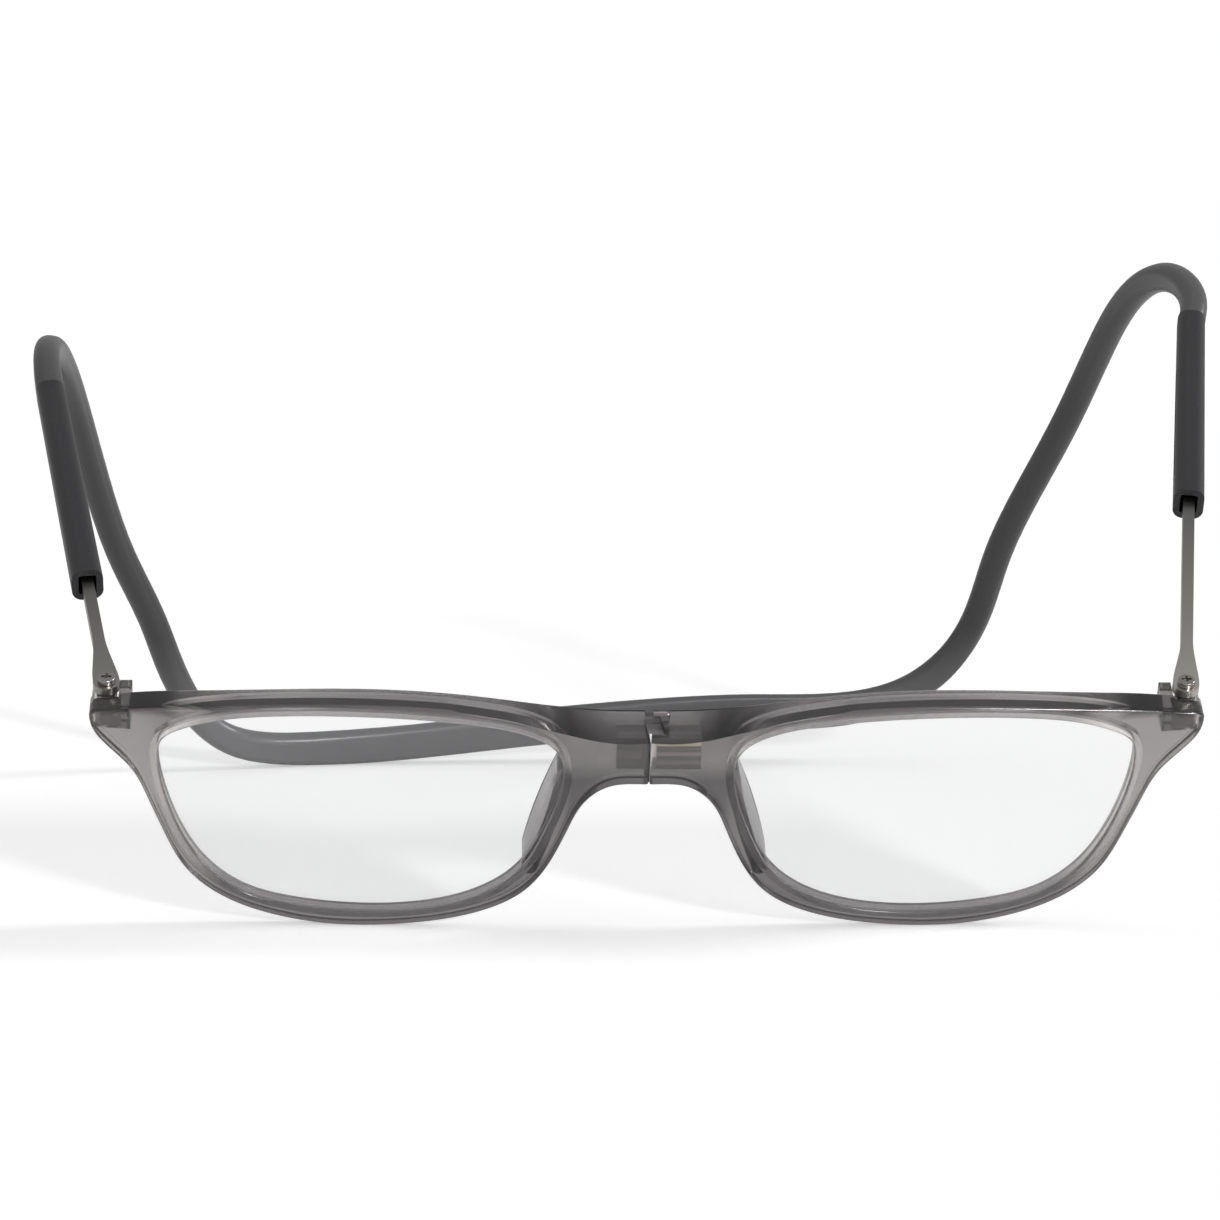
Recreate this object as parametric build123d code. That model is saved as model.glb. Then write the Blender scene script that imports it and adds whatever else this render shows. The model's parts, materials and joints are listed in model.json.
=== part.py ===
"""Reading glasses whose bridge parts in the middle and closes with two magnets.

Two front halves, each with its lens, turn on a screw hinge at the end of a flat metal arm.
Each arm slides in a moulded sleeve, and the sleeves sit on the ends of one flexible headband.
Lengths are millimetres. The model is drawn in the wearing frame: +X to the right as the
glasses are seen from the front, +Y backwards, +Z upwards along the hinge screws, with zero
midway between the halves. The last step lays it on its rims and headband, as on a table.
"""
import os
from math import cos, radians, sin, sqrt

from build123d import *

# Front halves
front_width = 134.0         # over both end pieces
hinge_inset = 2.0           # screw axis inside the end of the front
front_height = 33.7         # brow to rim bottom
front_radius = 545.0        # curve of the front, seen from above
rim_depth = 3.8             # front to back, at the brow
rim_taper = 2.2             # degrees by which the back of the rim comes forward towards its bottom
front_setback = 3.5         # front face of the bridge, ahead of zero
edge_rounding = 0.5         # outer edges of the front
opening_rounding = 0.3      # edges of the lens opening
end_corner_radius = 1.1     # upper outer corner of the end piece
cut_overrun = 6.0           # how far every cutting block runs past what it cuts

# Outline of one half: across as a share of half the width, up as a share of the height
under_shares = [(0.0, -0.229), (0.068, -0.239), (0.114, -0.313), (0.141, -0.427), (0.168, -0.563),
                (0.217, -0.717), (0.315, -0.832), (0.450, -0.890), (0.562, -0.902), (0.675, -0.872),
                (0.772, -0.795), (0.837, -0.674), (0.873, -0.520), (0.900, -0.372),
                (0.928, -0.243), (0.969, -0.148), (0.9955, -0.071), (1.0, -0.018)]
brow_shares = [(0.938, 0.024), (0.900, 0.036), (0.825, 0.052), (0.675, 0.078), (0.540, 0.096),
               (0.405, 0.096), (0.300, 0.080), (0.165, 0.0465), (0.075, 0.033), (0.0, 0.032)]
# Lens opening, clockwise: over the top to its outer end, then back under
over_shares = [(0.153, -0.184), (0.165, -0.090), (0.210, -0.023), (0.300, 0.022), (0.420, 0.043),
               (0.555, 0.045), (0.675, 0.030), (0.765, 0.001), (0.832, -0.046), (0.8726, -0.109),
               (0.8786, -0.190)]
back_shares = [(0.8786, -0.190), (0.868, -0.345), (0.842, -0.507), (0.800, -0.654),
               (0.729, -0.769), (0.637, -0.819), (0.540, -0.834), (0.420, -0.818),
               (0.313, -0.754), (0.234, -0.634), (0.192, -0.481), (0.1634, -0.312), (0.153, -0.184)]

# Sloping top of the bridge: place across as a share of half the width, drop of the front edge
slope_shares = [0.0, 0.085, 0.13, 0.21, 0.33, 0.42]
slope_drops = [2.35, 2.35, 1.9, 0.95, 0.2, -0.25]

# Parting of the bridge, with the tongue of the left half
parting_gap = 0.14          # between the halves at the front face
tongue_reach = 1.9          # past the middle
tongue_bottom = -0.62
tongue_height = 1.06
tongue_clearance = 0.12     # above and below the tongue
tongue_rounding = 0.35      # corners of its tip
parting_notch = 0.65        # side of the square notch where the halves meet, under and over the bridge
left_relief = 0.56          # the left parting face falls back by this over the rim depth
right_relief = 0.43         # and the right one by this

# Magnets
magnet_height = 4.3
magnet_thickness = 2.3
magnet_top = -1.25
magnet_cover = 0.95         # plastic in front of a magnet
magnet_recess = 0.85        # inner end of a magnet from the middle
left_magnet_length = 3.1
right_magnet_length = 5.3
magnet_rounding = 0.25
glue_gap = 0.03             # round a magnet

# Lenses
lens_thickness = 1.5
lens_setback = 0.6          # lens front behind the rim front
groove_depth = 1.0          # lens edge inside the rim
groove_clearance = 0.02

# Nose pads, moulded with the rims
pad_sink = 1.2              # root inside the rim
pad_reach = 3.8             # behind the rim
pad_flare = 0.3             # outwards over that reach
pad_rise = 0.6              # the tip is this much shorter than the root at either end
pad_root_width = 1.9
pad_tip_width = 1.2
pad_rounding = 0.35         # edges of the tip
pad_top = -7.6
pad_bottom = -21.8
pad_root_share = 0.151      # middle of the root at its top, as a share of half the width
pad_spread = 3.9            # the root's bottom stands this much further out
pad_bow = 0.5               # hollow of the root towards the nose
pad_belly = 0.4             # the tip bulges outwards by this

# End piece and hinge
hinge_depth = 3.77          # screw axis behind the front face
end_piece_depth = 6.67      # rear of the cheeks behind the front face
end_piece_width = 4.8
end_piece_step = 0.15       # outer cheek inside the end of the front
end_piece_top = 0.35
end_piece_bottom = -3.6
end_piece_rounding = 0.7    # rear edges of the cheeks
cheek_top_radius = 1.0      # upper outer corner of the cheeks
cheek_bottom_radius = 2.2   # and the lower one
pocket_width = 2.9
pocket_bottom = -3.0
barrel_diameter = 2.5
anchor_width = 2.6
anchor_height = 1.5
anchor_length = 1.9         # forwards from the screw axis
anchor_inset = 0.6          # middle of the anchor inside the screw axis
anchor_lift = 0.4           # above the bottom of the pocket
anchor_clearance = 0.02
screw_shank = 1.2
screw_fit = 0.04            # radial, in the washer and the arm's eye
screw_head_diameter = 2.1
screw_head_height = 0.7
screw_edge = 0.2
screw_reach = 3.0           # thread inside the barrel
recess_span = 1.2           # cross recess in the head
recess_width = 0.34
recess_depth = 0.4
washer_diameter = 2.6
washer_thickness = 0.3
hinge_play = 0.06           # between stacked hinge parts
eye_gap = 0.55              # arm's eye above the cheeks

# Arms
left_splay = 9.5            # degrees outwards
right_splay = 7.8
eye_diameter = 3.2
eye_thickness = 1.0
arm_width = 1.45
arm_height = 1.6
arm_taper = 8.5             # from the screw to the plain strip
arm_reach = 45.3            # screw to detent nub
tang_width = 1.1
tang_height = 1.3
tang_past_nub = 1.6

# Sliding shoe on the end of each arm
shoe_ahead = 3.0            # in front of the nub
shoe_behind = 3.4
shoe_clearance = 0.07
shoe_rounding = 0.3
nub_diameter = 0.95
nub_reach = 0.45            # past the bore, inside the slot
tang_clearance = 0.02

# Sleeves
sleeve_length = 43.6
sleeve_front_width = 3.9
sleeve_front_height = 4.4
sleeve_back_width = 3.65
sleeve_back_height = 4.1
sleeve_rounding = 1.35
bore_width = 2.2
bore_height = 2.7
bore_rounding = 0.3
first_notch = 6.2           # from the front end of the sleeve
notch_pitch = 4.65
notch_count = 6
notch_diameter = 1.75
slot_height = 1.25
left_notch = 4              # notch that the nub rests in, counted from nought
right_notch = 0
seam_notch_length = 1.6
seam_notch_height = 1.4

# Headband
spigot_length = 8.0
spigot_clearance = 0.02
seam_gap = 0.05
tab_clearance = 0.08
band_root_width = 4.1       # at the seam
band_root_thickness = 3.65
band_leg_width = 3.9        # behind the ears
band_leg_thickness = 3.4
band_nape_width = 5.7
band_nape_thickness = 2.3
band_rounding_share = 0.42
nape_x = -2.9               # middle of the band behind the neck
nape_back = 111.3
nape_drop = 84.4
nape_turn = 44.0            # roll of the flat on its right side, in degrees
ear_back = 60.0             # place that the flat of the band faces
band_steps = 24

# Route of the headband: shares of the way from its seam to the nape, across, back and down
left_band_shares = [(0.0, 0.0, 0.0), (-0.011, 0.248, 0.007), (-0.001, 0.443, 0.094),
                    (0.042, 0.658, 0.380), (0.087, 0.715, 0.560), (0.154, 0.764, 0.743),
                    (0.258, 0.810, 0.950), (0.421, 0.869, 1.004), (0.682, 0.940, 1.013)]
right_band_shares = [(0.0, 0.0, 0.0), (-0.003, 0.305, -0.006), (0.040, 0.730, 0.057),
                     (0.130, 1.040, 0.345), (0.251, 1.128, 0.706), (0.327, 1.116, 0.908),
                     (0.456, 1.100, 0.979), (0.687, 1.060, 0.990)]

# Where the section changes, as shares of the band's length from its left end
root_end_share = 0.05
left_flat_shares = (0.30, 0.42)
right_flat_shares = (0.60, 0.71)
roll_on_shares = (0.42, 0.58)
roll_off_shares = (0.64, 0.72)

# Laying the glasses down
contact_tolerance = 0.02
steepest_lean = 60.0        # degrees
lean_precision = 0.0005

half_width = front_width / 2
hinge_spacing = front_width - 2 * hinge_inset
end_front = front_radius - sqrt(front_radius ** 2 - half_width ** 2) - front_setback
hinge_setback = end_front + hinge_depth
pad_root_x = half_width * pad_root_share
eye_bottom = end_piece_top + eye_gap
arm_level = eye_bottom + arm_height / 2
barrel_top = eye_bottom - hinge_play - washer_thickness


def across(share):
    """A place across one half, from the middle of the bridge."""
    return share * half_width


def up(share):
    """A height on one half, from zero."""
    return share * front_height


def front_points(shares):
    """Outline points in the plane of the front."""
    return [(across(a), up(b)) for a, b in shares]


def standing(face):
    """Turn a sketch drawn flat so that its second direction points up."""
    return Plane.XZ * face


def curved_slab(front_depth, back_depth):
    """The space between two depths behind the curved front."""
    middle = front_radius - front_setback
    ring = Circle(front_radius - front_depth) - Circle(front_radius - back_depth)
    keep = Rectangle(front_width + cut_overrun, front_width, align=(Align.CENTER, Align.MIN))
    plan = Pos(0, middle) * ring & Pos(0, -front_width / 2) * keep
    tall = front_height + cut_overrun
    return Pos(0, 0, -tall) * extrude(plan, 2 * tall)


def tapered_back():
    """What lies behind the rim, whose back comes forward towards its bottom."""
    pivot = rim_depth - front_setback
    behind = curved_slab(rim_depth, rim_depth + cut_overrun)
    return Pos(0, pivot, 0) * Rot(-rim_taper, 0, 0) * Pos(0, -pivot, 0) * behind


def prism(face):
    """Run an upright sketch through the whole depth of the front."""
    return extrude(Pos(0, front_width, 0) * standing(face), 2 * front_width)


def flowing(points, start_way, end_way):
    """Smooth curve through points, leaving and arriving along given directions."""
    return Spline(points, tangents=[start_way, end_way], tangent_scalars=(1, 1))


def half_outline():
    """Outer outline of one half, run on past the middle so that the parting can be cut."""
    low = front_points(under_shares)
    outer_x, outer_z = low[-1]
    corner_end = (outer_x - end_corner_radius, outer_z + end_corner_radius)
    brow = [corner_end] + front_points(brow_shares)
    under = flowing(low, (1, 0), (0, 1))
    corner = RadiusArc(low[-1], corner_end, -end_corner_radius)
    top = flowing(brow, (-1, 0), (-1, 0))
    end = -cut_overrun
    closing = Polyline([brow[-1], (end, brow[-1][1]), (end, low[0][1]), low[0]])
    return make_face(under + corner + top + closing)


def grown(points, growth):
    """Move the points of a closed clockwise outline outwards."""
    moved = []
    for index, (x, z) in enumerate(points):
        before = points[index - 1]
        after = points[(index + 1) % len(points)]
        run_x = after[0] - before[0]
        run_z = after[1] - before[1]
        run = sqrt(run_x ** 2 + run_z ** 2)
        moved.append((x - growth * run_z / run, z + growth * run_x / run))
    return moved


def lens_opening(growth):
    """Opening of the rim, or the lens edge where it has grown into the groove."""
    last = len(over_shares) - 1
    ring = grown(front_points(over_shares[:-1] + back_shares[:-1]), growth)
    over = flowing(ring[:last + 1], (0, 1), (0, -1))
    back = flowing(ring[last:] + ring[:1], (0, -1), (0, 1))
    return make_face(over + back)


def bridge_slope():
    """What is cut away above the sloping top of the bridge."""
    sections = []
    brow_level = up(brow_shares[-1][1])
    back = rim_depth - front_setback
    ahead = back - rim_depth - cut_overrun
    places = [-cut_overrun] + [across(share) for share in slope_shares]
    for x, drop in zip(places, slope_drops[:1] + slope_drops):
        level = brow_level + brow_rise(x)
        low = level - drop * (back - ahead) / rim_depth
        corners = [(ahead, low), (back, level), (back, level + front_height), (ahead, level + front_height)]
        plane = Plane(origin=(x, 0, 0), x_dir=(0, 1, 0), z_dir=(1, 0, 0))
        sections.append(plane * make_face(Polyline(corners, close=True)))
    return loft(sections)


def brow_rise(x):
    """Height of the brow above the middle of the bridge, between the outline points."""
    points = sorted(front_points(brow_shares))
    for (x0, z0), (x1, z1) in zip(points, points[1:]):
        if x0 <= x <= x1:
            return z0 + (z1 - z0) * (x - x0) / (x1 - x0) - points[0][1]
    return 0


def nose_pad():
    """One pad, a curved fin that leans outwards behind the rim."""
    rim_back = rim_depth - front_setback

    def fin(y, shift, bow, shorter, width):
        top = (pad_root_x + shift, pad_top - shorter)
        middle = (pad_root_x + shift + pad_spread / 2 + bow, (pad_top + pad_bottom) / 2)
        bottom = (pad_root_x + shift + pad_spread, pad_bottom + shorter)
        shape = SlotArc(ThreePointArc(top, middle, bottom), width)
        return Pos(0, y, 0) * standing(shape)

    root = fin(rim_back - pad_sink, 0, -pad_bow, 0, pad_root_width)
    tip = fin(rim_back + pad_reach, pad_flare, pad_belly, pad_rise, pad_tip_width)
    fins = loft([root, tip])
    return fillet(fins.faces().sort_by(Axis.Y)[-1].edges(), pad_rounding)


def end_piece():
    """The block behind the end of the brow, whose cheeks flank the hinge."""
    inside = rim_depth / 2
    section = Rectangle(end_piece_width, end_piece_top - end_piece_bottom, align=(Align.MAX, Align.MIN))
    section = Pos(half_width - end_piece_step, end_piece_bottom) * section
    outer_low = section.vertices().group_by(Axis.X)[-1].sort_by(Axis.Y)[0]
    section = fillet(outer_low, cheek_bottom_radius)
    outer_high = section.vertices().group_by(Axis.Y)[-1].sort_by(Axis.X)[-1]
    section = fillet(outer_high, cheek_top_radius)
    block = extrude(Pos(0, end_front + inside, 0) * standing(section), inside - end_piece_depth)
    return fillet(block.faces().sort_by(Axis.Y)[-1].edges(), end_piece_rounding)


def hinge_pocket():
    """The slot between the cheeks, open upwards and to the back."""
    slot = Box(pocket_width, end_piece_depth, end_piece_top - pocket_bottom + cut_overrun,
               align=(Align.CENTER, Align.MIN, Align.MIN))
    front = hinge_setback - pocket_width / 2
    return Pos(hinge_spacing / 2, front, pocket_bottom) * slot


def anchor(growth):
    """The part of the hinge bracket that is moulded into the end piece."""
    bar = Box(anchor_width + 2 * growth, anchor_length + growth, anchor_height + 2 * growth,
              align=(Align.CENTER, Align.MAX, Align.MIN))
    inner_x = hinge_spacing / 2 - anchor_inset
    return Pos(inner_x, hinge_setback, pocket_bottom + anchor_lift - growth) * bar


def magnet(length, growth, reach):
    """A block magnet in the right half; reach runs its pocket out through the parting face."""
    block = Box(length + 2 * growth + reach, magnet_thickness + 2 * growth,
                magnet_height + 2 * growth, align=(Align.MIN, Align.MIN, Align.MAX))
    if not growth:
        block = fillet(block.edges().filter_by(Axis.X), magnet_rounding)
    front = magnet_cover - front_setback
    return Pos(magnet_recess - growth - reach, front - growth, magnet_top + growth) * block


def drafted(face, lean):
    """Cut face run backwards from the front face, leaning sideways to clear the turning halves."""
    start = Pos(0, -front_setback, 0) * standing(face)
    length = rim_depth + cut_overrun
    slanted = sqrt(length ** 2 + (lean * length / rim_depth) ** 2)
    back = extrude(start, slanted, dir=(lean * length / rim_depth, length, 0))
    return back + extrude(start, cut_overrun, dir=(0, -1, 0))


def parting_cut(edge, tip, play, side):
    """Everything past the parting line: side +1 keeps what is left of it, -1 what is right."""
    low = tongue_bottom - play
    high = tongue_bottom + tongue_height + play
    far = side * (tongue_reach + cut_overrun)
    corners = [(edge, -front_height), (edge, low), (tip, low), (tip, high), (edge, high),
               (edge, front_height), (far, front_height), (far, -front_height)]
    face = make_face(Polyline(corners, close=True))
    tip_corners = face.vertices().group_by(lambda corner: abs(corner.X - tip))[0]
    return fillet(tip_corners, tongue_rounding)


def bridge_notches():
    """Small notches that break the corners of both halves where they meet."""
    square = Rot(0, 0, 45) * Rectangle(parting_notch, parting_notch)
    levels = (up(under_shares[0][1]), up(brow_shares[-1][1]))
    return Sketch() + [Pos(0, level) * square for level in levels]


def rim_blank():
    """One right rim with its brow and its half of the bridge, without parting or pockets."""
    rim = prism(half_outline()) & curved_slab(0, rim_depth + cut_overrun / 2)
    rim = rim - tapered_back() - prism(lens_opening(0))
    curved = rim.edges().filter_by(GeomType.BSPLINE).sort_by(SortBy.LENGTH)
    rim = fillet(curved[:-2], edge_rounding)
    opening = rim.edges().sort_by(SortBy.LENGTH)[-2:]
    rim = fillet(opening, opening_rounding)
    return rim - bridge_slope() - prism(bridge_notches())


def right_blank():
    """One right half with end piece, nose pad, lens groove and pockets."""
    body = rim_blank() + end_piece() + nose_pad()
    body -= hinge_pocket()
    body -= anchor(anchor_clearance)
    groove = prism(lens_opening(groove_depth + groove_clearance))
    seat = curved_slab(lens_setback - groove_clearance, lens_setback + lens_thickness + groove_clearance)
    body -= groove & seat
    return body


def make_lens():
    """A lens cut to the groove, curved like the front."""
    seat = curved_slab(lens_setback, lens_setback + lens_thickness)
    return prism(lens_opening(groove_depth)) & seat


def hinge_bracket():
    """Metal insert: an anchor in the end piece and a barrel that the screw is tapped into."""
    axis_x = hinge_spacing / 2
    barrel = Cylinder(barrel_diameter / 2, barrel_top - pocket_bottom,
                      align=(Align.CENTER, Align.CENTER, Align.MIN))
    bracket = anchor(0) + Pos(axis_x, hinge_setback, pocket_bottom) * barrel
    bore = Cylinder(screw_shank / 2, screw_reach, align=(Align.CENTER, Align.CENTER, Align.MAX))
    return bracket - Pos(axis_x, hinge_setback, barrel_top) * bore


def hinge_washer():
    """Thin washer between the barrel and the arm's eye."""
    ring = Circle(washer_diameter / 2) - Circle(screw_shank / 2 + screw_fit)
    return Pos(hinge_spacing / 2, hinge_setback, barrel_top) * extrude(ring, washer_thickness)


def hinge_screw():
    """Cross-recessed screw whose plain shank is the hinge pin."""
    head_bottom = eye_bottom + eye_thickness + hinge_play
    shank_bottom = barrel_top - screw_reach
    head = Cylinder(screw_head_diameter / 2, screw_head_height,
                    align=(Align.CENTER, Align.CENTER, Align.MIN))
    head = fillet(head.edges().sort_by(Axis.Z)[-1], screw_edge)
    slot = Box(recess_span, recess_width, recess_depth, align=(Align.CENTER, Align.CENTER, Align.MAX))
    cross = Pos(0, 0, screw_head_height) * (slot + Rot(0, 0, 90) * slot)
    shank = Cylinder(screw_shank / 2, head_bottom - shank_bottom,
                     align=(Align.CENTER, Align.CENTER, Align.MAX))
    return Pos(hinge_spacing / 2, hinge_setback, head_bottom) * (head - cross + shank)


def arm_blank():
    """Flat arm with its eye at zero, pointing backwards, its middle height at zero."""
    eye_r = eye_diameter / 2
    tip = arm_reach + tang_past_nub
    shoulder = arm_reach - shoe_ahead
    strip = Polyline([(-arm_width / 2, arm_taper), (-arm_width / 2, shoulder),
                      (-tang_width / 2, shoulder), (-tang_width / 2, tip), (tang_width / 2, tip),
                      (tang_width / 2, shoulder), (arm_width / 2, shoulder), (arm_width / 2, arm_taper)])
    right_side = flowing([(arm_width / 2, arm_taper), (eye_r, 0)], (0, -1), (0, -1))
    left_side = flowing([(-eye_r, 0), (-arm_width / 2, arm_taper)], (0, 1), (0, 1))
    round_end = ThreePointArc((eye_r, 0), (0, -eye_r), (-eye_r, 0))
    plan = make_face(strip + right_side + round_end + left_side)
    low = -arm_height / 2
    side = Polyline([(-cut_overrun, low), (tip, low), (tip, -low), (arm_taper, -low),
                     (eye_diameter, low + eye_thickness), (-cut_overrun, low + eye_thickness)], close=True)
    side_face = Plane.YZ * make_face(side)
    body = extrude(plan, arm_height, both=True) & extrude(side_face, eye_diameter, both=True)
    tang_low = Box(eye_diameter, tip, arm_height, align=(Align.CENTER, Align.MIN, Align.MAX))
    body -= Pos(0, shoulder, -tang_height / 2) * tang_low
    body -= Pos(0, shoulder, tang_height / 2 + arm_height) * tang_low
    return body - Cylinder(screw_shank / 2 + screw_fit, cut_overrun)


def shoe_blank(inner):
    """Plastic shoe with its detent nub on the inner side; inner is +1 or -1 along X."""
    length = shoe_ahead + shoe_behind
    block = Box(bore_width - 2 * shoe_clearance, length, bore_height - 2 * shoe_clearance,
                align=(Align.CENTER, Align.MIN, Align.CENTER))
    block = fillet(block.edges().filter_by(Axis.Y), shoe_rounding)
    block = Pos(0, arm_reach - shoe_ahead, 0) * block
    nub_length = bore_width / 2 + nub_reach
    nub = Cylinder(nub_diameter / 2, nub_length, rotation=(0, 90, 0),
                   align=(Align.CENTER, Align.CENTER, Align.MIN if inner > 0 else Align.MAX))
    block += Pos(0, arm_reach, 0) * nub
    pocket = Box(tang_width + 2 * tang_clearance, shoe_ahead + tang_past_nub + tang_clearance,
                 tang_height + 2 * tang_clearance, align=(Align.CENTER, Align.MIN, Align.CENTER))
    return block - Pos(0, arm_reach - shoe_ahead, 0) * pocket


def rounded_section(y, width, height, rounding):
    """Rounded rectangle across the arm direction."""
    plane = Plane(origin=(0, y, 0), x_dir=(1, 0, 0), z_dir=(0, 1, 0))
    return plane * RectangleRounded(width, height, rounding)


def sleeve_blank(inner):
    """Tube with a scalloped slot in its inner wall; its front end is at zero."""
    tube = loft([rounded_section(0, sleeve_front_width, sleeve_front_height, sleeve_rounding),
                 rounded_section(sleeve_length, sleeve_back_width, sleeve_back_height, sleeve_rounding)])
    bore = extrude(rounded_section(0, bore_width, bore_height, bore_rounding), sleeve_length)
    slot_length = notch_pitch * (notch_count - 1)
    slot = Box(sleeve_front_width, slot_length, slot_height, align=(Align.MIN, Align.MIN, Align.CENTER))
    slot = Pos(0, first_notch, 0) * slot
    for notch in range(notch_count):
        scallop = Cylinder(notch_diameter / 2, sleeve_front_width, rotation=(0, 90, 0),
                           align=(Align.CENTER, Align.CENTER, Align.MIN))
        slot += Pos(0, first_notch + notch * notch_pitch, 0) * scallop
    seam = Box(sleeve_front_width, seam_notch_length, seam_notch_height,
               align=(Align.MAX, Align.MAX, Align.CENTER))
    tube = tube - bore - slot - Pos(0, sleeve_length, 0) * seam
    return tube if inner > 0 else mirror(tube, about=Plane.YZ)


def along_arm(side, distance):
    """Place on the line of one arm, from its screw; side is -1 left, +1 right."""
    splay = radians(left_splay if side < 0 else right_splay)
    return (side * (hinge_spacing / 2 + distance * sin(splay)),
            hinge_setback + distance * cos(splay), arm_level)


def on_arm(side, distance, piece):
    """Lay a piece drawn backwards from zero along one arm."""
    turn = left_splay if side < 0 else -right_splay
    return Pos(*along_arm(side, distance)) * Rot(0, 0, turn) * piece


# How far each sleeve stands behind its screw
left_exposed = arm_reach - first_notch - left_notch * notch_pitch
right_exposed = arm_reach - first_notch - right_notch * notch_pitch


def band_route():
    """Middle line of the headband from the left seam to the right one."""
    nape = (nape_x, nape_back, -nape_drop)
    left_seam = along_arm(-1, left_exposed + sleeve_length + seam_gap)
    right_seam = along_arm(1, right_exposed + sleeve_length + seam_gap)

    def placed(seam, shares):
        return tuple(a + share * (b - a) for a, b, share in zip(seam, nape, shares))

    left = [placed(left_seam, shares) for shares in left_band_shares]
    right = [placed(right_seam, shares) for shares in right_band_shares]
    left_way = Vector(*along_arm(-1, 1)) - Vector(*along_arm(-1, 0))
    right_way = Vector(*along_arm(1, 0)) - Vector(*along_arm(1, 1))
    return flowing(left + [nape] + right[::-1], left_way, right_way)


def ease(share, ends):
    """Smooth rise from 0 to 1 between two shares of the length."""
    start, end = ends
    part = min(max((share - start) / (end - start), 0), 1)
    return part * part * (3 - 2 * part)


def band_section(line, share):
    """Rounded cross section square to the middle line: oval at the ears, flat behind the neck."""
    root = 1 - ease(min(share, 1 - share), (0, root_end_share))
    flat = ease(share, left_flat_shares) * (1 - ease(share, right_flat_shares))
    roll = nape_turn * ease(share, roll_on_shares) * (1 - ease(share, roll_off_shares))
    width = band_leg_width + root * (band_root_width - band_leg_width)
    width += flat * (band_nape_width - band_leg_width)
    thickness = band_leg_thickness + root * (band_root_thickness - band_leg_thickness)
    thickness += flat * (band_nape_thickness - band_leg_thickness)
    place = line @ share
    way = line % share
    inward = Vector(-place.X, ear_back - place.Y, 0)
    inward = (inward - way * inward.dot(way)).normalized()
    plane = Plane(origin=place, x_dir=inward, z_dir=way).rotated((0, 0, roll))
    return plane * RectangleRounded(thickness, width, band_rounding_share * thickness)


def headband():
    """Flexible band behind the head with a spigot in each sleeve and a tab in each seam notch."""
    line = band_route()
    band = loft([band_section(line, step / band_steps) for step in range(band_steps + 1)])
    for side, exposed in ((-1, left_exposed), (1, right_exposed)):
        width = bore_width - 2 * spigot_clearance
        height = bore_height - 2 * spigot_clearance
        spigot = Box(width, spigot_length + seam_gap, height,
                     align=(Align.CENTER, Align.MAX, Align.CENTER))
        spigot = fillet(spigot.edges().filter_by(Axis.Y), bore_rounding)
        tab = Box(sleeve_back_width / 2, seam_notch_length + seam_gap - tab_clearance,
                  seam_notch_height - 2 * tab_clearance,
                  align=(Align.MIN if side > 0 else Align.MAX, Align.MAX, Align.CENTER))
        band += on_arm(side, exposed + sleeve_length + seam_gap, spigot + tab)
    return band


def front_pieces():
    """Pieces of both halves, drawn on the right and mirrored for the left."""
    blank = right_blank()
    lens = make_lens()
    bracket = hinge_bracket()
    washer = hinge_washer()
    screw = hinge_screw()
    gap = parting_gap / 2
    right_cut = drafted(parting_cut(gap, tongue_reach + parting_gap, tongue_clearance, -1), right_relief)
    left_cut = drafted(parting_cut(-gap, tongue_reach, 0, 1), -left_relief)
    reach = magnet_recess
    right_front = blank - right_cut - magnet(right_magnet_length, glue_gap, reach)
    left_front = mirror(blank - magnet(left_magnet_length, glue_gap, reach), about=Plane.YZ) - left_cut
    right = {"front": right_front, "lens": lens, "hinge_bracket": bracket, "hinge_washer": washer,
             "hinge_screw": screw, "magnet": magnet(right_magnet_length, 0, 0)}
    left = {name: mirror(piece, about=Plane.YZ) for name, piece in right.items()}
    left["front"] = left_front
    left["magnet"] = mirror(magnet(left_magnet_length, 0, 0), about=Plane.YZ)
    return left, right


def assembly():
    """Every piece in the wearing frame, by name."""
    left, right = front_pieces()
    pieces = {"headband": headband()}
    arm = arm_blank()
    sides = ((-1, "left", left_exposed, left), (1, "right", right_exposed, right))
    for side, name, exposed, fronts in sides:
        pieces[name + "_sleeve"] = on_arm(side, exposed, sleeve_blank(-side))
        pieces[name + "_arm"] = on_arm(side, 0, arm)
        pieces[name + "_slider_shoe"] = on_arm(side, 0, shoe_blank(-side))
        for piece_name, piece in fronts.items():
            pieces[name + "_" + piece_name] = piece
    return pieces


def lowest(points, lean):
    """Lowest height among points once the glasses are tipped forwards by the lean in degrees."""
    rise = sin(radians(lean))
    level = cos(radians(lean))
    return min(y * rise + z * level for y, z in points)


def resting_lean(pieces):
    """Lean at which both rims and the headband touch the table together."""
    outlines = []
    for names in (("left_front", "right_front"), ("headband",)):
        points = []
        for name in names:
            corners = pieces[name].tessellate(contact_tolerance)[0]
            points += [(corner.Y, corner.Z) for corner in corners]
        outlines.append(points)
    rims, band = outlines
    low, high = 0, steepest_lean
    while high - low > lean_precision:
        lean = (low + high) / 2
        if lowest(band, lean) < lowest(rims, lean):
            low = lean
        else:
            high = lean
    return lean, min(lowest(rims, lean), lowest(band, lean))


def laid_down(pieces):
    """Tip every piece onto the table and centre the whole over zero."""
    lean, floor = resting_lean(pieces)
    tipped = {name: Rot(lean, 0, 0) * piece for name, piece in pieces.items()}
    boxes = [piece.bounding_box() for piece in tipped.values()]
    middle_x = (min(box.min.X for box in boxes) + max(box.max.X for box in boxes)) / 2
    middle_y = (min(box.min.Y for box in boxes) + max(box.max.Y for box in boxes)) / 2
    rest = Pos(-middle_x, -middle_y, -floor) * Rot(lean, 0, 0)
    return {name: rest * piece for name, piece in pieces.items()}, rest, lean


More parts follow.
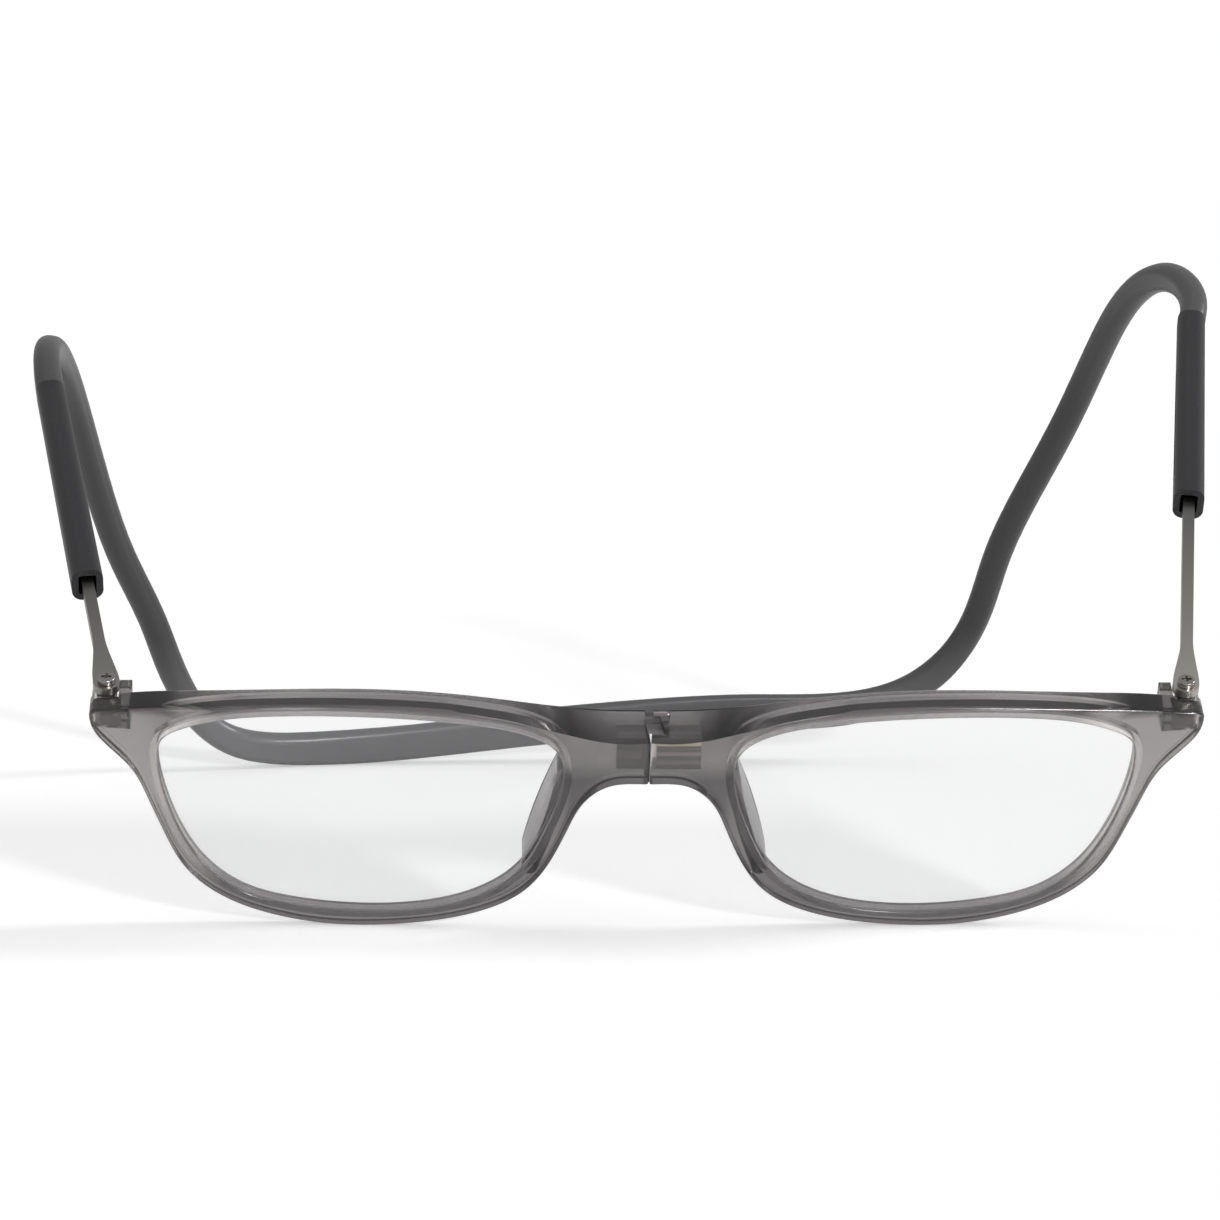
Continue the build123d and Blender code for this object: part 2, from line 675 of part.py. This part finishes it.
def report_joints(rest):
    """Print the hinge and slide axes in the resting frame."""
    for side, name in ((-1, "left"), (1, "right")):
        screw = rest * Pos(side * hinge_spacing / 2, hinge_setback, eye_bottom)
        pin = screw.position
        up_way = (rest * Pos(side * hinge_spacing / 2, hinge_setback, eye_bottom + 1)).position - pin
        start = (rest * Pos(*along_arm(side, 0))).position
        back_way = (rest * Pos(*along_arm(side, 1))).position - start
        print(name, "hinge at", pin, "along", up_way, "slide from", start, "along", back_way)


if __name__ == "__main__":
    os.makedirs("parts", exist_ok=True)
    drawn = assembly()
    resting, rest_place, lean_angle = laid_down(drawn)
    print("leans forwards by", lean_angle)
    report_joints(rest_place)
    for node, solid in resting.items():
        print(node, "solids", len(solid.solids()), "volume", solid.volume)
        export_step(solid, "parts/" + node + ".step")
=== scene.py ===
# %% [markdown]
# # Reading glasses with a magnetic bridge
# These readers open in the middle of the bridge, where two magnets hold the halves together.
# Every solid comes from the CAD model, which is loaded first as a frame that stays fixed.
# The cells below give it a camera, light and finishes, and add the small details that a CAD
# solid leaves out. Lengths are metres, and +Z is up from the table.

import json
from math import asin, radians

import bmesh
import bpy
from mathutils import Matrix, Vector


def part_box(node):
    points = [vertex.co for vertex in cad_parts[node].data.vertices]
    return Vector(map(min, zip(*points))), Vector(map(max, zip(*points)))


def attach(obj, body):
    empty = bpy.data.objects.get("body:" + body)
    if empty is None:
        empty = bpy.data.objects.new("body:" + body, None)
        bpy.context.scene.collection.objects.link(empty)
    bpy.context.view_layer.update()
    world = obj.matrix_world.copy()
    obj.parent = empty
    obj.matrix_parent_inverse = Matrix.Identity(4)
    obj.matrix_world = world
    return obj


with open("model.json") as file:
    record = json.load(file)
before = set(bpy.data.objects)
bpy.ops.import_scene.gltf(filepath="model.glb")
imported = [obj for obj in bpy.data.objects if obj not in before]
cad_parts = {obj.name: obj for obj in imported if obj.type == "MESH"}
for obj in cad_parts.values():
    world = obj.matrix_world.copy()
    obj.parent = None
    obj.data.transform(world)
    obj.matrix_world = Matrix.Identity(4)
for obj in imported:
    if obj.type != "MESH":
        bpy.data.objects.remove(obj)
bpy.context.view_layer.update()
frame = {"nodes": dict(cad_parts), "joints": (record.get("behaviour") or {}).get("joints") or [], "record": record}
nodes = frame["nodes"]

# %% [markdown]
# ## Camera
# The photograph was taken with a long lens, low over the table, a little left of the middle.
# A long lens keeps the near and far rims almost the same size. The camera could be placed by
# eye, but here its place was fitted to the hinges, rims and sleeves, so it is given as a point,
# the point it looks at, and a slight roll.

# %% Place the camera
camera_place = Vector((-0.02893, -0.64199, 0.11714))
camera_target = Vector((-0.00467, -0.05766, 0.03923))
camera_roll = radians(0.49)
camera_lens = 143.1
camera_sensor = 36.0


def link(obj):
    """Put an object into the scene."""
    bpy.context.scene.collection.objects.link(obj)
    return obj


camera_data = bpy.data.cameras.new("photo_camera")
camera = link(bpy.data.objects.new("photo_camera", camera_data))
camera_data.lens = camera_lens
camera_data.sensor_width = camera_sensor
camera_data.clip_start = 0.01
aim = (camera_target - camera_place).to_track_quat("-Z", "Y").to_matrix().to_4x4()
camera.matrix_world = Matrix.Translation(camera_place) @ aim @ Matrix.Rotation(camera_roll, 4, "Z")
bpy.context.scene.camera = camera
bpy.context.scene.view_settings.view_transform = "Standard"
print("camera at", tuple(camera_place))

# %% [markdown]
# ## Floor and background
# The photograph has a white table that runs into a white background. Lighting a floor to white
# would burn out the object, so the floor gets a little light of its own, but only for the
# camera and for what is seen through glass. Its shadows stay, because the light that falls on it
# is only added to. The world does the same behind it.

# %% Tell the camera's rays from the light's
def seen_rays(tree):
    """1 for rays from the camera, also through glass, and 0 for reflections and plain light."""
    path = tree.nodes.new("ShaderNodeLightPath")
    either = tree.nodes.new("ShaderNodeMath")
    either.operation = "MAXIMUM"
    tree.links.new(path.outputs["Is Camera Ray"], either.inputs[0])
    tree.links.new(path.outputs["Is Transmission Ray"], either.inputs[1])
    return either.outputs[0]


print("ray helper is ready")

# %% Lay the floor
floor_size = 30.0
floor_lift = 0.36
floor_grey = 0.9
floor_roughness = 0.9


def table_white():
    """White table top that glows a little for the camera alone."""
    mat = bpy.data.materials.new("table_white")
    mat.use_nodes = True
    tree = mat.node_tree
    shader = tree.nodes["Principled BSDF"]
    shader.inputs["Base Color"].default_value = (floor_grey, floor_grey, floor_grey, 1)
    shader.inputs["Roughness"].default_value = floor_roughness
    shader.inputs["Specular IOR Level"].default_value = 0.0
    shader.inputs["Emission Color"].default_value = (1, 1, 1, 1)
    lift = tree.nodes.new("ShaderNodeMath")
    lift.operation = "MULTIPLY"
    lift.inputs[1].default_value = floor_lift
    tree.links.new(seen_rays(tree), lift.inputs[0])
    tree.links.new(lift.outputs[0], shader.inputs["Emission Strength"])
    return mat


bm = bmesh.new()
bmesh.ops.create_grid(bm, x_segments=1, y_segments=1, size=floor_size)
mesh = bpy.data.meshes.new("floor")
bm.to_mesh(mesh)
bm.free()
floor = link(bpy.data.objects.new("floor", mesh))
floor.data.materials.append(table_white())
print("floor is", 2 * floor_size, "m wide")

# %% Surround it with a pale world
sky_light = 0.45
world = bpy.data.worlds.new("studio")
bpy.context.scene.world = world
world.use_nodes = True
tree = world.node_tree
tree.nodes.clear()
soft = tree.nodes.new("ShaderNodeBackground")
soft.inputs["Color"].default_value = (1, 1, 1, 1)
soft.inputs["Strength"].default_value = sky_light
white = tree.nodes.new("ShaderNodeBackground")
white.inputs["Color"].default_value = (1, 1, 1, 1)
white.inputs["Strength"].default_value = 1.0
mix = tree.nodes.new("ShaderNodeMixShader")
out = tree.nodes.new("ShaderNodeOutputWorld")
tree.links.new(seen_rays(tree), mix.inputs[0])
tree.links.new(soft.outputs[0], mix.inputs[1])
tree.links.new(white.outputs[0], mix.inputs[2])
tree.links.new(mix.outputs[0], out.inputs["Surface"])
print("world lights at", sky_light)

# %% [markdown]
# ## Lamps
# The photograph holds two sets of shadows. Thin long ones run back and to the left from the arms
# and the legs of the headband, so one low lamp stands in front, at the right. Broad faint ones
# lie to the left of the rims, so a second one stands at the right. Far lamps with a wide disc
# give the same light over the whole table, where near ones would leave its far end grey.

# %% Hang the lamps
front_way = (-1.3, 3.0, -1.0)
front_power = 1.5
front_disc = 6.0
side_way = (-0.85, -0.05, -0.40)
side_power = 1.1
side_disc = 14.0


def far_lamp(name, way, power, spread):
    """A distant lamp that shines along a direction, with a disc of so many degrees."""
    data = bpy.data.lights.new(name, "SUN")
    data.energy = power
    data.angle = radians(spread)
    obj = link(bpy.data.objects.new(name, data))
    obj.matrix_world = Vector(way).to_track_quat("-Z", "Y").to_matrix().to_4x4()
    return obj


far_lamp("front_lamp", front_way, front_power, front_disc)
far_lamp("side_lamp", side_way, side_power, side_disc)

# %% [markdown]
# ## Finishes
# One function starts every finish: a Principled shader whose roughness and bump vary a little,
# because nothing real is perfectly even. Patterns read Object coordinates in metres, so they
# keep their size on every piece. The noise could be a picture of scratches, but a procedural
# one needs no unwrapping and stays fine at any distance.

# %% Start a finish
def finish(name, color, roughness, metallic=0.0):
    """A new material with its colour, roughness and metal set on the shader."""
    mat = bpy.data.materials.new(name)
    mat.use_nodes = True
    shader = mat.node_tree.nodes["Principled BSDF"]
    shader.inputs["Base Color"].default_value = (*color, 1)
    shader.inputs["Roughness"].default_value = roughness
    shader.inputs["Metallic"].default_value = metallic
    return mat, mat.node_tree, shader


def grain(tree, scale, detail=4.0):
    """Noise on the object's own coordinates, with features 1 / scale metres across."""
    place = tree.nodes.new("ShaderNodeTexCoord")
    noise = tree.nodes.new("ShaderNodeTexNoise")
    noise.inputs["Scale"].default_value = scale
    noise.inputs["Detail"].default_value = detail
    tree.links.new(place.outputs["Object"], noise.inputs["Vector"])
    return noise


print("finishes can be started")

# %% Measure places and turn them into colours
def reach(tree, output, way):
    """How far the place on the object, or its normal, goes along a direction."""
    place = tree.nodes.new("ShaderNodeTexCoord")
    dot = tree.nodes.new("ShaderNodeVectorMath")
    dot.operation = "DOT_PRODUCT"
    dot.inputs[1].default_value = way
    tree.links.new(place.outputs[output], dot.inputs[0])
    return dot.outputs["Value"]


def arithmetic(tree, operation, first, second=0.0):
    """One Math node; the second value may be a number or a socket, or be left out."""
    node = tree.nodes.new("ShaderNodeMath")
    node.operation = operation
    tree.links.new(first, node.inputs[0])
    if isinstance(second, float):
        node.inputs[1].default_value = second
    else:
        tree.links.new(second, node.inputs[1])
    return node.outputs[0]


def span(tree, value, start, end, low=0.0, high=1.0):
    """From low to high while a value goes from start to end."""
    node = tree.nodes.new("ShaderNodeMapRange")
    for name, number in (("From Min", start), ("From Max", end), ("To Min", low), ("To Max", high)):
        node.inputs[name].default_value = number
    tree.links.new(value, node.inputs["Value"])
    return node.outputs["Result"]


def bands(tree, shader, position, stops, sharp=False):
    """Colour the surface by a position from 0 to 1, with stops of (position, colour)."""
    ramp = tree.nodes.new("ShaderNodeValToRGB")
    ramp.color_ramp.interpolation = "CONSTANT" if sharp else "LINEAR"
    line = ramp.color_ramp.elements
    while len(line) < len(stops):
        line.new(0.5)
    for element, (place, color) in zip(line, stops):
        element.position = place
        element.color = (*color, 1)
    tree.links.new(position, ramp.inputs["Fac"])
    tree.links.new(ramp.outputs["Color"], shader.inputs["Base Color"])


print("places can be measured")

# %% Roughen and emboss
def vary_roughness(tree, shader, noise, low, high):
    """Let the noise move the roughness between two values."""
    rough = span(tree, noise.outputs["Fac"], 0.0, 1.0, low, high)
    tree.links.new(rough, shader.inputs["Roughness"])


def emboss(tree, shader, noise, depth):
    """Bump of a real depth in metres from the noise."""
    bump = tree.nodes.new("ShaderNodeBump")
    bump.inputs["Strength"].default_value = 1.0
    bump.inputs["Distance"].default_value = depth
    tree.links.new(noise.outputs["Fac"], bump.inputs["Height"])
    tree.links.new(bump.outputs["Normal"], shader.inputs["Normal"])


print("surfaces can be roughened")

# %% [markdown]
# ## Lens, plated metal and matt plastic
# The lenses are clear and smooth, so they have hardly any grain. The small metal pieces are plated
# and faintly marked. The dark mouldings are matt, as pieces from an etched mould are. One function
# for each stock serves every piece of it, where separate materials would say the same again.

# %% Mix the plain finishes
lens_tint = (0.91, 0.913, 0.915)
lens_index = 1.5
lens_haze = 300.0
lens_roughness = (0.0, 0.01)
plated_marks = 2500.0
plated_depth = 0.000004
mould_grain = 3500.0
mould_detail = 6.0
dark_below = 0.35
light_above = 0.65
fine_grain = 0.00001
faint_grain = 0.000005


def lens_clear():
    """Clear moulded lens with the faintest grey."""
    mat, tree, shader = finish("lens_clear", lens_tint, 0.0)
    shader.inputs["Transmission Weight"].default_value = 1.0
    shader.inputs["IOR"].default_value = lens_index
    vary_roughness(tree, shader, grain(tree, lens_haze), *lens_roughness)
    return mat


def nickel(name, color, roughness):
    """Plated metal with fine marks."""
    mat, tree, shader = finish(name, color, roughness, 1.0)
    noise = grain(tree, plated_marks)
    vary_roughness(tree, shader, noise, roughness * 0.8, roughness * 1.25)
    emboss(tree, shader, noise, plated_depth)
    return mat


def moulded(name, dark, light, roughness, depth):
    """Matt moulded plastic, its colour between two values over a fine grain."""
    mat, tree, shader = finish(name, light, roughness)
    noise = grain(tree, mould_grain, mould_detail)
    bands(tree, shader, noise.outputs["Fac"], [(dark_below, dark), (light_above, light)])
    vary_roughness(tree, shader, noise, roughness * 0.9, roughness * 1.1)
    emboss(tree, shader, noise, depth)
    return mat


print("plain finishes are ready")

# %% [markdown]
# ## Headband
# The headband is a soft rubber band with a matt skin. In the photograph it is lightest along the
# nape and over the bends at the top, and darkest in its legs. More lamps could do that, but they
# would light everything else as well, so its grey follows the height over the table as painted
# light and shade.

# %% Mix the rubber of the headband
band_height = 0.077
band_speckle = 0.06
band_roughness = (0.28, 0.36)
nape_grey = (0.115, 0.115, 0.12)
nape_top_grey = (0.10, 0.10, 0.104)
leg_grey = (0.038, 0.038, 0.039)
leg_top_grey = (0.045, 0.045, 0.046)
bend_grey = (0.085, 0.083, 0.084)
# Painted light and shade: lighter greys at the nape and bends, darker ones in the legs.
band_painted_greys = [(0.0, nape_grey), (0.14, nape_top_grey), (0.30, leg_grey), (0.75, leg_top_grey),
              (0.95, bend_grey)]


def band_rubber():
    """Matt grey rubber, with painted light at the nape and at the top, and painted shade in the legs."""
    mat, tree, shader = finish("band_rubber", (0.06, 0.06, 0.062), 0.45)
    noise = grain(tree, mould_grain, mould_detail)
    speckle = arithmetic(tree, "MULTIPLY", noise.outputs["Fac"], band_speckle)
    height = span(tree, reach(tree, "Object", (0, 0, 1)), 0.0, band_height)
    bands(tree, shader, arithmetic(tree, "ADD", height, speckle), band_painted_greys)
    vary_roughness(tree, shader, noise, *band_roughness)
    emboss(tree, shader, noise, fine_grain)
    return mat


print("headband rubber is ready")

# %% [markdown]
# ## Smoky plastic
# The halves are moulded in a grey plastic that lets light through. It looks light where one looks
# straight through the flat faces, and dark at the rounded edges, underneath, on the sloping top
# of the bridge and near the table. The rim, with the lens groove behind its face, is darker than
# the bridge and the end pieces. A ray that crosses the model can't show all of that, so painted
# light and shade in the colour also follow the way the surface faces, its height and its distance
# from the seam: painted shadow near the table, underneath and on the rim, and painted highlights
# on the flat faces, the nose pads and the lip. Directions are those of the glasses as worn: the
# hinge screws stand up, and the front leans forwards on the table.

# %% Find the directions of the worn glasses
hinge = {joint["name"]: joint for joint in frame["joints"]}["left_hinge"]
screw_way = Vector(hinge["axis"])
lean = asin(-screw_way.y)
back_way = Matrix.Rotation(lean, 3, "X") @ Vector((0, 1, 0))
hinge_place = Vector((-0.065, 0.0044, 0.0009))


def from_wearing(x, y, z):
    """A point given in millimetres as the glasses are worn, in the resting frame in metres."""
    from_hinge = Vector((x, y, z)) / 1000 - hinge_place
    return Vector(hinge["pos_m"]) + Matrix.Rotation(lean, 3, "X") @ from_hinge


def level(z):
    """A height in millimetres as worn, along the screws in the resting frame."""
    return from_wearing(0, 0, z).dot(screw_way)


def setback(y):
    """A depth in millimetres as worn, from front to back in the resting frame."""
    return from_wearing(0, y, 0).dot(back_way)


print("screws stand along", tuple(screw_way), "and the front faces", tuple(-back_way))

# %% Set the limits of the painted light and shade
# Each pair says where a change of painted light and shade starts and ends. The face turn is 1 where
# the surface faces the front or the back, and the other turns go from -1 underneath to 1 on top.
# Starts and ends are metres from the seam. Each light is the share of painted brightness that is
# left there.
face_turn = (0.8, 0.975)
pad_depths = (setback(0.5), setback(1.1))
bridge_end = (0.008, 0.012)
bridge_foot = (level(-7.0), level(-5.2))
bridge_foot_light = 0.3
rim_start = (0.009, 0.013)
rim_end = (0.051, 0.055)
rim_light = 0.55
rim_least_light = 0.4
lip_turn = (0.2, 0.7)
lip_levels = (level(-20), level(-16))
table_levels = (level(-27), level(-12))
table_light = 0.6
under_turn = (-0.7, -0.1)
under_light = 0.3
cheek_start = (0.056, 0.058)
cheek_levels = (level(0.0), level(1.0))
print("the lip lies below", lip_levels[1], "m along the screws")

# %% Add up the painted light and shade
def smoke_painted_shading(tree):
    """How light the painted light and shade make the plastic at each place, from 0 to 1."""
    def times(first, second):
        return arithmetic(tree, "MULTIPLY", first, second)

    def larger(first, second):
        return arithmetic(tree, "MAXIMUM", first, second)

    behind = reach(tree, "Object", back_way)
    height = reach(tree, "Object", screw_way)
    up = reach(tree, "Normal", screw_way)
    facing = arithmetic(tree, "ABSOLUTE", reach(tree, "Normal", back_way))
    sideways = arithmetic(tree, "SUBTRACT", reach(tree, "Object", (1, 0, 0)), from_wearing(0, 0, 0).x)
    from_seam = arithmetic(tree, "ABSOLUTE", sideways)

    # Painted light on the flat faces and nose pads, but painted shade at the foot of the bridge.
    flat = larger(span(tree, facing, *face_turn), span(tree, behind, *pad_depths))
    outside = span(tree, from_seam, *bridge_end)
    above_foot = span(tree, height, *bridge_foot, bridge_foot_light, 1.0)
    flat = times(flat, larger(above_foot, outside))

    # Painted shade makes the rim darker than the bridge and the end pieces, and a painted
    # highlight makes the lip under the lens light.
    beside_rim = larger(span(tree, from_seam, *rim_start, 1.0, rim_light),
                        span(tree, from_seam, *rim_end, rim_light, 1.0))
    lip = times(span(tree, up, *lip_turn), span(tree, height, *lip_levels, 1.0, 0.0))
    flat = larger(times(flat, beside_rim), lip)
    light = larger(flat, times(outside, rim_least_light))

    # Painted shadow darkens it towards the table, underneath, and high on the end pieces, beside the hinges.
    light = times(light, span(tree, height, *table_levels, table_light, 1.0))
    light = times(light, span(tree, up, *under_turn, under_light, 1.0))
    beside_cheek = larger(span(tree, from_seam, *cheek_start, 1.0, 0.0),
                          span(tree, height, *cheek_levels, 1.0, 0.0))
    return times(light, beside_cheek)


print("tints can be added up")

# %% Mix the smoky plastic
smoke_shading_stops = [(0.0, (0.20, 0.19, 0.195)), (0.35, (0.42, 0.405, 0.41)), (1.0, (0.97, 0.945, 0.93))]
smoke_through = 0.95
smoke_index = 1.49
smoke_color = (0.33, 0.31, 0.312, 1)
smoke_density = 420.0
smoke_haze = 900.0
smoke_roughness = (0.12, 0.22)


def smoke_plastic():
    """Translucent grey moulding, satin, with painted light and shade by place, and darker by its own depth."""
    mat, tree, shader = finish("smoke_plastic", (0.9, 0.88, 0.875), 0.2)
    shader.inputs["Transmission Weight"].default_value = smoke_through
    shader.inputs["IOR"].default_value = smoke_index
    bands(tree, shader, smoke_painted_shading(tree), smoke_shading_stops)
    depth = tree.nodes.new("ShaderNodeVolumeAbsorption")
    depth.inputs["Color"].default_value = smoke_color
    depth.inputs["Density"].default_value = smoke_density
    tree.links.new(depth.outputs[0], tree.nodes["Material Output"].inputs["Volume"])
    vary_roughness(tree, shader, grain(tree, smoke_haze), *smoke_roughness)
    return mat


print("smoky plastic is ready")

# %% [markdown]
# ## Arms and magnets
# The arms are flat strips of plated spring steel. In the photograph they are dull near the sleeves
# and brighter by the hinge, so their colour follows their length as a painted reflection, and the
# left one is darker, as painted shade. The magnets show through the smoky bridge. The right one is
# lighter, with bands across it and a pale line along its top, all painted highlights; the left one
# is dark and even, a copy in painted shade. A colour ramp along the height of the block draws the
# bands, where separate strips would be many pieces for one plated block.

# %% Mix the metal of the arms
# Painted reflection: bright by the hinge, dull towards the sleeves.
arm_span = (-0.066, -0.030)
arm_reflection_stops = [(0.0, (0.58, 0.56, 0.52)), (0.3, (0.42, 0.41, 0.37)), (1.0, (0.20, 0.20, 0.185))]
arm_roughness = (0.25, 0.36)
# Painted shade: the left arm is a darker copy of the same plating.
left_arm_painted_shade = 0.62


def arm_metal(name, shade):
    """Plated steel with a painted reflection, brighter towards the hinge; the shade makes all of it lighter or
    darker as painted shade.
    """
    mat, tree, shader = finish(name, (0.4, 0.4, 0.36), 0.3, 1.0)
    behind = span(tree, reach(tree, "Object", (0, 1, 0)), *arm_span)
    bands(tree, shader, behind, [(place, Vector(color) * shade) for place, color in arm_reflection_stops])
    noise = grain(tree, plated_marks)
    vary_roughness(tree, shader, noise, *arm_roughness)
    emboss(tree, shader, noise, plated_depth)
    return mat


print("arms brighten over", arm_span)

# %% Mix the plating of the magnets
magnet_half_height = 0.00215
magnet_roughness = (0.25, 0.4)


def middle_of(name):
    """The middle of a CAD node's box."""
    low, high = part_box(name)
    return (Vector(low) + Vector(high)) / 2


def magnet_finish(name, stops):
    """Plated block whose colour runs in bands of painted highlights from its bottom to its top."""
    mat, tree, shader = finish(name, stops[0][1], 0.3, 0.7)
    # Both magnets stand at the same height.
    height = middle_of("right_magnet").dot(screw_way)
    position = span(tree, reach(tree, "Object", screw_way), height - magnet_half_height,
                    height + magnet_half_height)
    bands(tree, shader, position, stops, True)
    vary_roughness(tree, shader, grain(tree, plated_marks), *magnet_roughness)
    return mat


# Painted highlights: the bands and the pale line along the top.
magnet_painted_highlights = magnet_finish("magnet_painted_highlights", [
    (0.0, (0.09, 0.09, 0.085)), (0.16, (0.20, 0.19, 0.18)), (0.30, (0.11, 0.105, 0.10)),
    (0.46, (0.34, 0.33, 0.31)), (0.58, (0.13, 0.125, 0.12)), (0.80, (0.75, 0.72, 0.60)),
    (0.93, (0.95, 0.92, 0.72))])
# Painted shade: a darker, even copy for the left magnet.
magnet_painted_shade = magnet_finish("magnet_painted_shade", [
    (0.0, (0.06, 0.06, 0.055)), (0.35, (0.11, 0.11, 0.10)), (0.62, (0.06, 0.06, 0.055)),
    (0.93, (0.16, 0.16, 0.14))])
print("magnet platings are ready")

# %% [markdown]
# ## Finishes on the CAD nodes
# Every CAD node names the stock it is made of, and gets the finish of that stock. The left arm and
# the left magnet differ from the right ones in the photograph, so they have darker copies of their
# own, as painted shade.

# %% Dress the CAD nodes
finishes = {
    "smoke_plastic": smoke_plastic(),
    "lens_clear": lens_clear(),
    "arm_metal": arm_metal("arm_metal", 1.0),
    "bracket_metal": nickel("bracket_metal", (0.26, 0.25, 0.235), 0.35),
    "washer_metal": nickel("washer_metal", (0.07, 0.065, 0.06), 0.3),
    "screw_nickel": nickel("screw_nickel", (0.38, 0.36, 0.33), 0.25),
    "magnet_plating": magnet_painted_highlights,
    "sleeve_plastic": moulded("sleeve_plastic", (0.016, 0.016, 0.018), (0.024, 0.024, 0.027),
                              0.45, fine_grain),
    "shoe_plastic": moulded("shoe_plastic", (0.02, 0.02, 0.02), (0.03, 0.03, 0.03),
                            0.6, fine_grain),
    "band_rubber": band_rubber(),
}
painted_shade_copies = {
    "left_magnet": magnet_painted_shade,
    "left_arm": arm_metal("arm_shaded", left_arm_painted_shade),
}
slot_of = {entry["node"]: entry["material_slot"] for entry in frame["record"]["subparts"]}
for name, node in nodes.items():
    node.data.materials.clear()
    node.data.materials.append(painted_shade_copies.get(name) or finishes[slot_of[name]])
print(len(nodes), "nodes are dressed")

# %% [markdown]
# ## Seam of the bridge
# Where the halves meet, the photograph shows a dark line of shadow. In the CAD model the two faces
# of the parting stand a little apart, so that they can turn, and white shows through. A thin dark
# layer on the left face, a painted shadow, closes the view. It could be a painted face, but the gap
# would still let light through, so it is a piece of its own: its outline is one face, extruded
# towards the right half.
# It follows the left face, which falls back behind the front, and stays clear of the right one.

# %% Lay a painted-shadow layer on the parting face
seam_front = -3.42
seam_back = -0.62
seam_bottom = -7.15
seam_top = -0.80
slope_foot = -1.38
slope_head = -2.5
seam_outline = [(seam_front, seam_bottom), (seam_front, slope_foot), (slope_head, seam_top),
                (seam_back, seam_top), (seam_back, seam_bottom)]
seam_place = -0.09
seam_relief = 0.147
seam_thick = 0.15
# Painted shadow: the dark layer stands in for the shadow in the seam.
seam_shadow_look = moulded("seam_painted_shadow", (0.006, 0.006, 0.006), (0.012, 0.011, 0.011), 0.8, faint_grain)


def on_left_face(y, z):
    """A point on the parting face of the left half, which falls back behind the front."""
    return from_wearing(seam_place - seam_relief * (y - seam_front), y, z)


def new_piece(name, bm, look):
    """Turn a finished bmesh into a piece that rides on the left half."""
    bmesh.ops.recalc_face_normals(bm, faces=bm.faces)
    mesh = bpy.data.meshes.new(name)
    bm.to_mesh(mesh)
    bm.free()
    piece = link(bpy.data.objects.new(name, mesh))
    piece.data.materials.append(look)
    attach(piece, "left_front_body")
    print(name, "has", len(piece.data.polygons), "faces")
    return piece


bm = bmesh.new()
seam_face = bm.faces.new([bm.verts.new(on_left_face(y, z)) for y, z in seam_outline])
grown = bmesh.ops.extrude_face_region(bm, geom=[seam_face])["geom"]
moved = [part for part in grown if isinstance(part, bmesh.types.BMVert)]
bmesh.ops.translate(bm, vec=(seam_thick / 1000, 0, 0), verts=moved)
new_piece("seam_shadow_layer", bm, seam_shadow_look)

# %% [markdown]
# ## Filling before the left magnet
# Each magnet is pushed into its pocket from the parting face and stands back from it a little.
# In the photograph the dark block of the left one reaches the seam. What fills the recess there
# can't be told from the photograph, so it is taken for dark glue: a cube, scaled to the recess,
# with its edges bevelled, because the pocket is rounded too.

# %% Fill the recess
fill_size = Vector((0.68, 2.26, 4.26))
fill_rounding = 0.2
magnet_half_length = 1.55
fill_gap = 0.02
fill_look = moulded("fill_dark", (0.04, 0.04, 0.037), (0.06, 0.06, 0.055), 0.5, faint_grain)
middle = middle_of("left_magnet")
middle.x += (magnet_half_length + fill_gap + fill_size.x / 2) / 1000
bm = bmesh.new()
bmesh.ops.create_cube(bm, size=1.0)
bmesh.ops.scale(bm, vec=fill_size / 1000, verts=bm.verts)
bmesh.ops.bevel(bm, geom=list(bm.edges), offset=fill_rounding / 1000, offset_type="OFFSET",
                segments=2, profile=0.5, affect="EDGES", material=-1)
place = Matrix.Translation(middle) @ Matrix.Rotation(lean, 4, "X")
bmesh.ops.transform(bm, matrix=place, verts=bm.verts)
new_piece("magnet_fill", bm, fill_look)
